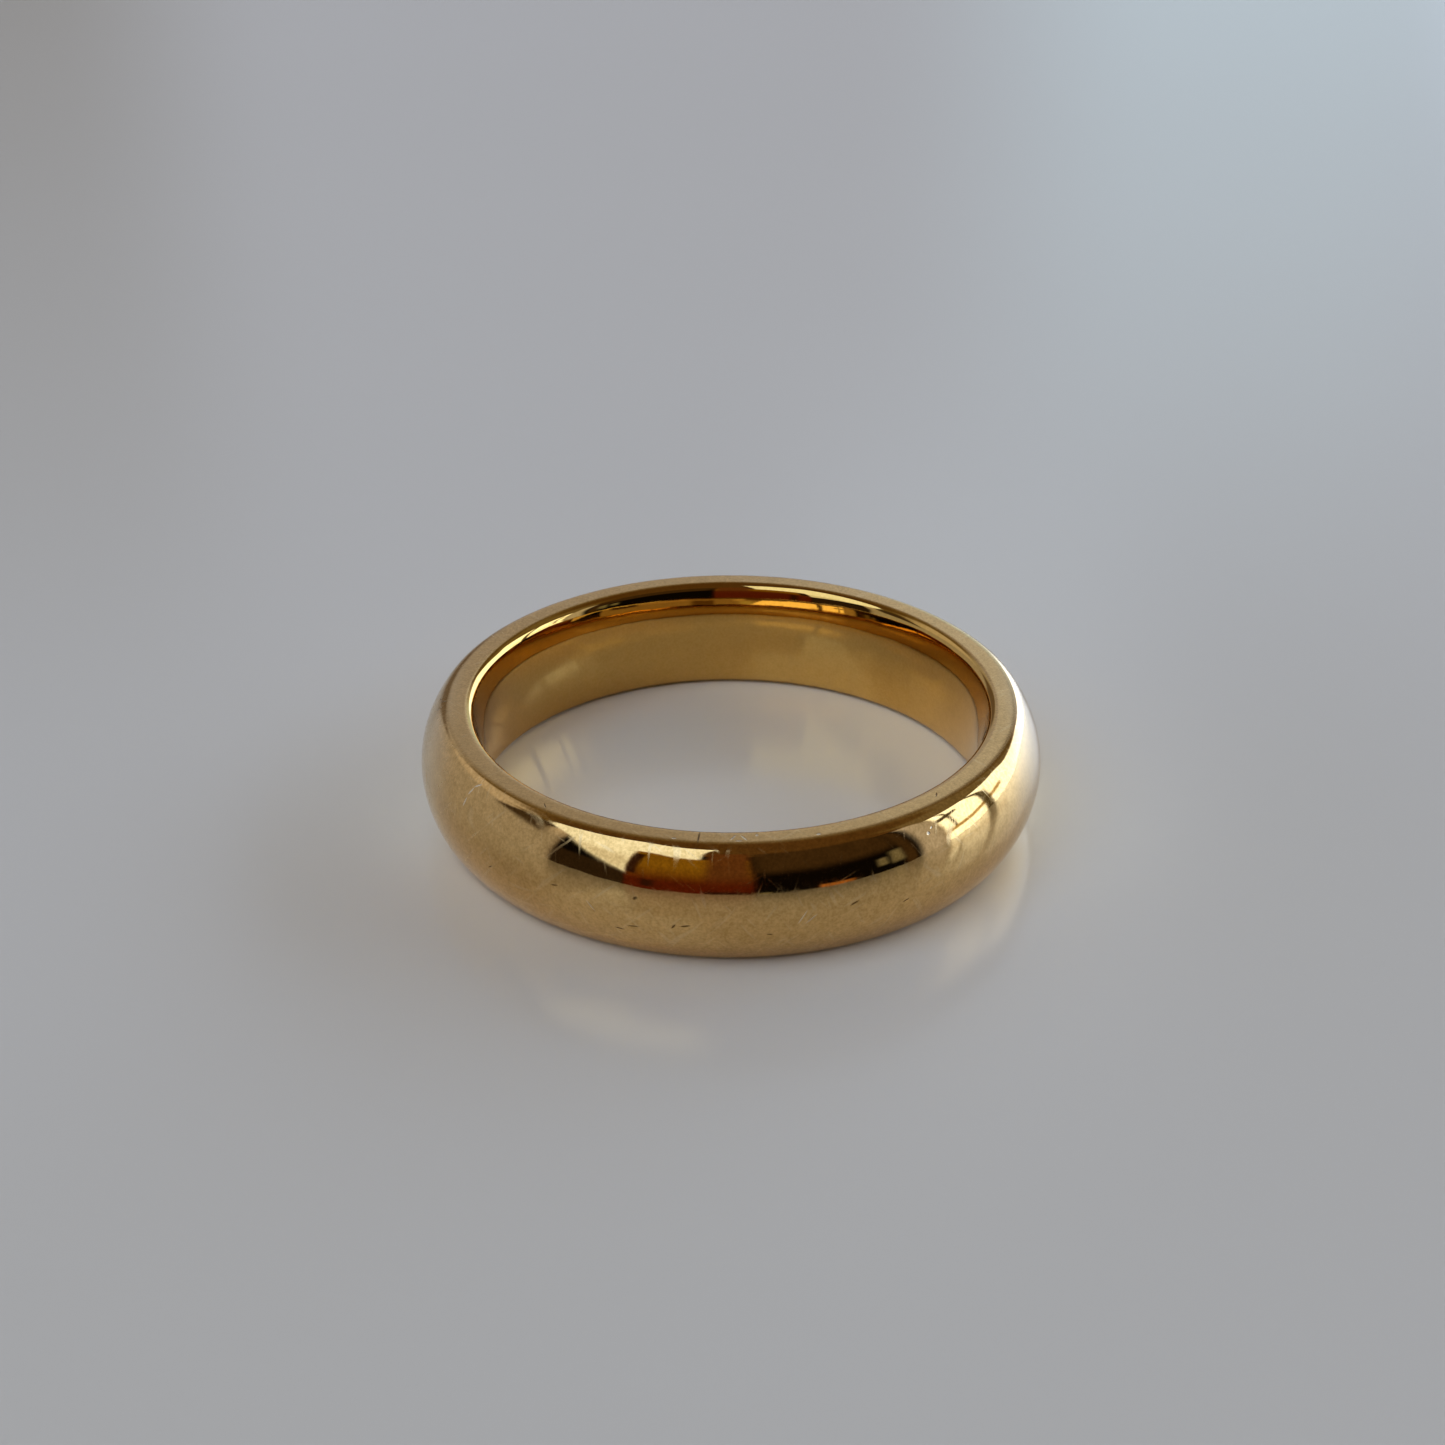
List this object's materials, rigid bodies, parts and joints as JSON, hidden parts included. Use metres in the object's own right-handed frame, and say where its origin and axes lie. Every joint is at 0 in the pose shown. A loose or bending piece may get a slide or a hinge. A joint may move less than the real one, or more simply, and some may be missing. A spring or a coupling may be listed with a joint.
{
  "type": "wedding band",
  "caption": "Plain solid gold wedding band: domed outside, narrow flat rims and a comfort-fit bore that bulges gently towards the finger.",
  "frame": {"origin": "centre of the bottom rim, on the plane that the band lies on", "axes": "+Z along the band's axis, up from the surface it lies on; +X and +Y are any two directions across it"},
  "size_m": [0.0206, 0.0206, 0.004],
  "materials": {
    "gold": "polished yellow gold with light wear"
  },
  "bodies": {
    "root": {"band": "gold"}
  },
  "joints": []
}
